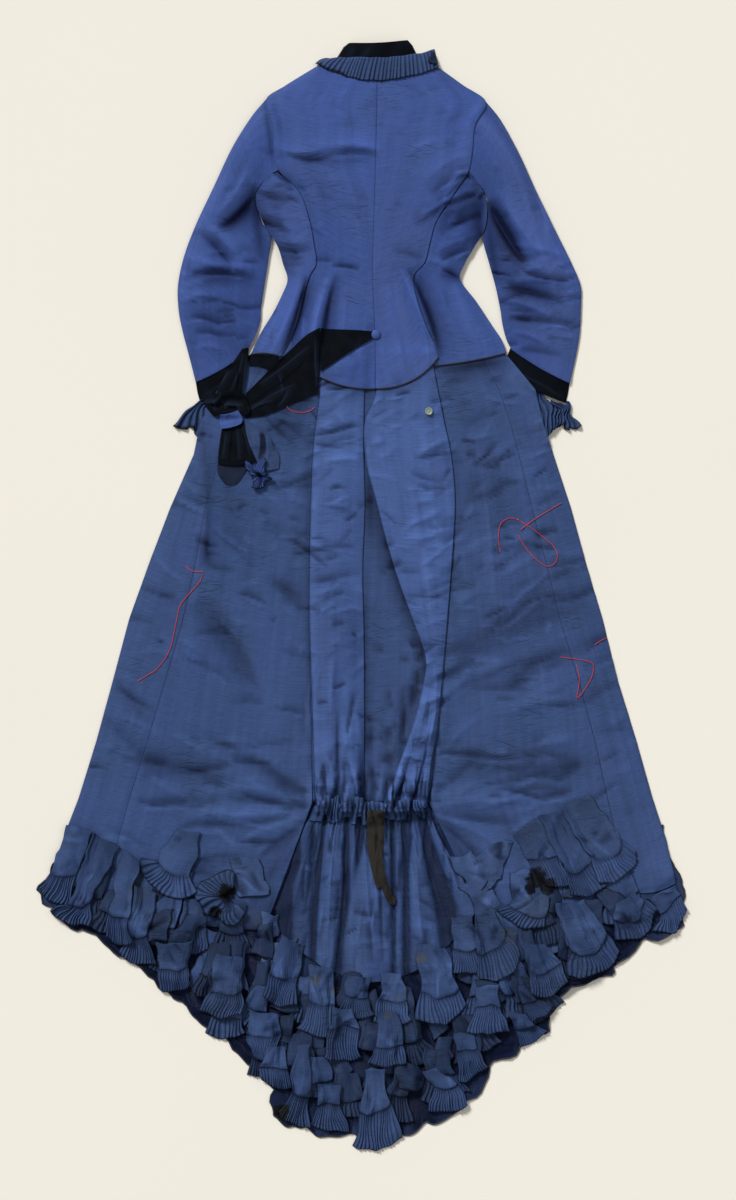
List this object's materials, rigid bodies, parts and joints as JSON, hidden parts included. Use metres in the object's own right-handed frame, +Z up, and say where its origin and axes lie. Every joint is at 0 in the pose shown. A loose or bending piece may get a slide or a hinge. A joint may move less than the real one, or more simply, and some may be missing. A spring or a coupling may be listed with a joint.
{
  "type": "bustle dress",
  "caption": "Two-piece silk bustle dress laid face down: tailed bodice, long sleeves, velvet cuffs, collar and sash, trained skirt with drawn-in back and frilled tabs.",
  "frame": {"origin": "centre of the dress's outline seen from above, on the surface it lies on", "axes": "+Z up off the surface, through the dress's back; +Y from the hem towards the collar; +X to the right as seen from above, the wearer's right"},
  "size_m": [1.1678, 1.9962, 0.0338],
  "materials": {
    "blue_silk": "ribbed silk with a soft sheen",
    "skirt_silk": "ribbed silk with a soft sheen, slightly faded",
    "frill_silk": "knife-pleated silk with a bound edge",
    "velvet": "deep pile velvet",
    "tie_cord": "matt worn tape",
    "covered_button": "silk over a button mould",
    "metal_button": "dull, tarnished"
  },
  "bodies": {
    "root": {"bodice_front_left": "blue_silk", "bodice_front_right": "blue_silk", "bodice_back_left": "blue_silk", "bodice_back_right": "blue_silk", "bodice_side_back_left": "blue_silk", "bodice_side_back_right": "blue_silk", "sleeve_left_upper": "blue_silk", "sleeve_left_under": "blue_silk", "sleeve_right_upper": "blue_silk", "sleeve_right_under": "blue_silk", "cuff_left": "velvet", "cuff_right": "velvet", "cuff_frill_left": "frill_silk", "cuff_frill_right": "frill_silk", "collar_stand": "velvet", "collar_frill": "frill_silk", "tail_button": "covered_button", "sash_point": "velvet", "sash_band": "velvet", "sash_loop": "velvet", "sash_knot": "velvet", "sash_keeper": "blue_silk", "sash_tail": "velvet", "sash_fan": "blue_silk", "skirt_front": "skirt_silk", "skirt_gore_left": "skirt_silk", "skirt_gore_right": "skirt_silk", "skirt_back_left": "skirt_silk", "skirt_back_centre": "skirt_silk", "skirt_back_right": "skirt_silk", "back_pleat_left": "skirt_silk", "back_pleat_right": "skirt_silk", "gather_band": "skirt_silk", "gather_tie": "tie_cord", "train_back": "skirt_silk", "train_base": "skirt_silk", "skirt_button": "metal_button", "tab_left_1": "frill_silk", "tab_left_2": "frill_silk", "tab_left_3": "frill_silk", "tab_left_4": "frill_silk", "tab_left_5": "frill_silk", "tab_left_6": "frill_silk", "tab_left_7": "frill_silk", "tab_right_1": "frill_silk", "tab_right_2": "frill_silk", "tab_right_3": "frill_silk", "tab_right_5": "frill_silk", "tab_right_6": "frill_silk", "tab_right_7": "frill_silk", "tab_right_8": "frill_silk", "tab_right_9": "frill_silk", "tab_right_10": "frill_silk", "tab_train_1": "frill_silk", "tab_train_2": "frill_silk", "tab_train_3": "frill_silk", "tab_train_4": "frill_silk", "tab_train_5": "frill_silk", "tab_train_6": "frill_silk", "tab_train_7": "frill_silk"}
  },
  "joints": []
}
